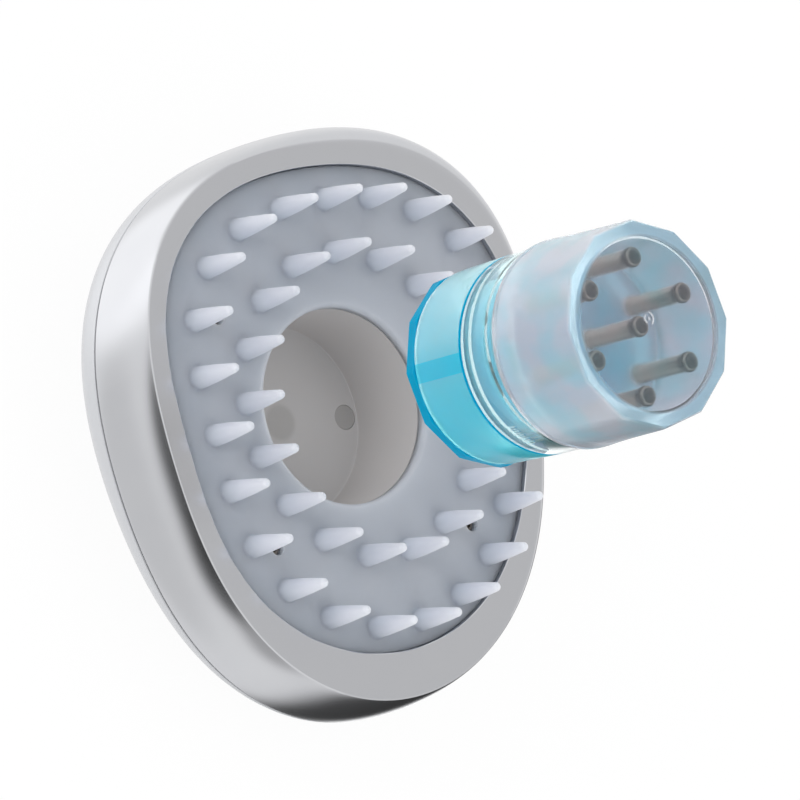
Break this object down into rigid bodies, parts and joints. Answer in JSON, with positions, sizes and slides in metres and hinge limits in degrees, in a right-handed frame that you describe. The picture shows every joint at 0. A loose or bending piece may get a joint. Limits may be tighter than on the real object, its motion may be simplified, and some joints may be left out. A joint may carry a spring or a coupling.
{
  "type": "electric scalp massager",
  "caption": "Palm-held vibrating scalp massager with a silicone comb face round a well, and a lift-out oil bottle with ball-tipped pins under a clear cap.",
  "frame": {"origin": "on the surface that the back rests on, under the middle of the handset's outline", "axes": "+Z along the axis of the well, out of the comb face; +Y towards the narrow-bezelled top of the handset, -Y towards the broad bezel at its lower end"},
  "size_m": [0.1, 0.1148, 0.1225],
  "materials": {
    "satin_plated_abs": "satin chrome plate on moulded ABS",
    "grey_abs": "fine moulded texture",
    "black_rubber": "moulded",
    "silicone": "translucent moulded silicone",
    "cup_abs": "satin moulded",
    "nickel_plate": "nickel plate",
    "steel": "turned and polished",
    "brass": "turned",
    "black_nylon": "moulded",
    "cell_wrap": "shrink film on a metal can",
    "board_green": "solder mask on glass fibre board",
    "lens_clear": "polished clear",
    "cyan_clear": "polished, tinted clear",
    "aqua_frost": "frosted, tinted clear",
    "aqua_clear": "polished, lightly tinted clear",
    "cap_frost": "lightly frosted clear"
  },
  "bodies": {
    "handset": {"front_shell": "satin_plated_abs", "rear_cover": "grey_abs", "seam_gasket": "black_rubber", "comb_pad": "silicone", "pad_carrier": "grey_abs", "well_cup": "cup_abs", "well_magnet": "nickel_plate", "well_vent": "black_rubber", "case_screw_1": "steel", "case_screw_2": "steel", "case_screw_3": "steel", "case_screw_4": "steel", "motor_can": "steel", "motor_strap": "black_nylon", "battery_cell": "cell_wrap", "battery_strap": "black_nylon", "strap_screw_1": "steel", "strap_screw_2": "steel", "strap_screw_3": "steel", "strap_screw_4": "steel", "main_board": "board_green", "board_screw_1": "steel", "board_screw_2": "steel", "tact_switch": "black_nylon", "indicator_lens": "lens_clear", "charge_contact_1": "brass", "charge_contact_2": "brass"},
    "rotor": {"motor_shaft": "steel", "eccentric_weight": "brass"},
    "button": {"power_button": "grey_abs"},
    "bottle": {"bottle_base": "cyan_clear", "bottle_body": "aqua_frost"},
    "seal": {"head_seal": "silicone"},
    "head": {"applicator_collar": "aqua_clear", "nozzle_plate": "cap_frost", "pin_tube_1": "steel", "pin_tube_2": "steel", "pin_tube_3": "steel", "pin_tube_4": "steel", "pin_tube_5": "steel", "pin_tube_6": "steel", "pin_tube_7": "steel"},
    "ball_1": {"roller_ball_1": "steel"},
    "ball_2": {"roller_ball_2": "steel"},
    "ball_3": {"roller_ball_3": "steel"},
    "ball_4": {"roller_ball_4": "steel"},
    "ball_5": {"roller_ball_5": "steel"},
    "ball_6": {"roller_ball_6": "steel"},
    "ball_7": {"roller_ball_7": "steel"},
    "cap": {"cap": "cap_frost"}
  },
  "joints": [
    {"name": "rotor_spin", "type": "hinge", "parent": "handset", "child": "rotor", "pos_m": [-0.00003, -0.03269, 0.01995], "axis": [1, 0, 0], "continuous": true},
    {"name": "button_press", "type": "slide", "parent": "handset", "child": "button", "axis": [0, 0, 1], "range_m": [0, 0.0006], "stiffness_N_per_m": 1500, "springref_m": -0.0004},
    {"name": "bottle_lift", "type": "slide", "parent": "handset", "child": "bottle", "axis": [0, 0, 1], "range_m": [-0.0634, 0]},
    {"name": "head_rise", "type": "slide", "parent": "bottle", "child": "seal", "axis": [0, 0, 1], "range_m": [0, 0.0038]},
    {"name": "head_twist", "type": "hinge", "parent": "seal", "child": "head", "pos_m": [-0.00003, 0.00221, 0.1], "axis": [0, 0, 1], "range_deg": [0, 450]},
    {"name": "cap_pull", "type": "slide", "parent": "head", "child": "cap", "axis": [0, 0, 1], "range_m": [0, 0.03]},
    {"name": "ball_roll_1", "type": "hinge", "parent": "head", "child": "ball_1", "pos_m": [-0.00003, 0.00221, 0.119], "axis": [1, 0, 0], "continuous": true},
    {"name": "ball_roll_2", "type": "hinge", "parent": "head", "child": "ball_2", "pos_m": [0.0008, 0.01468, 0.119], "axis": [1, 0, 0], "continuous": true},
    {"name": "ball_roll_3", "type": "hinge", "parent": "head", "child": "ball_3", "pos_m": [0.01119, 0.00773, 0.119], "axis": [1, 0, 0], "continuous": true},
    {"name": "ball_roll_4", "type": "hinge", "parent": "head", "child": "ball_4", "pos_m": [0.01036, -0.00474, 0.119], "axis": [1, 0, 0], "continuous": true},
    {"name": "ball_roll_5", "type": "hinge", "parent": "head", "child": "ball_5", "pos_m": [-0.00085, -0.01026, 0.119], "axis": [1, 0, 0], "continuous": true},
    {"name": "ball_roll_6", "type": "hinge", "parent": "head", "child": "ball_6", "pos_m": [-0.01124, -0.00331, 0.119], "axis": [1, 0, 0], "continuous": true},
    {"name": "ball_roll_7", "type": "hinge", "parent": "head", "child": "ball_7", "pos_m": [-0.01041, 0.00916, 0.119], "axis": [1, 0, 0], "continuous": true}
  ],
  "couplings": [
    {"joint": "head_rise", "follows": "head_twist", "m_per_rad": 0.00047746}
  ]
}
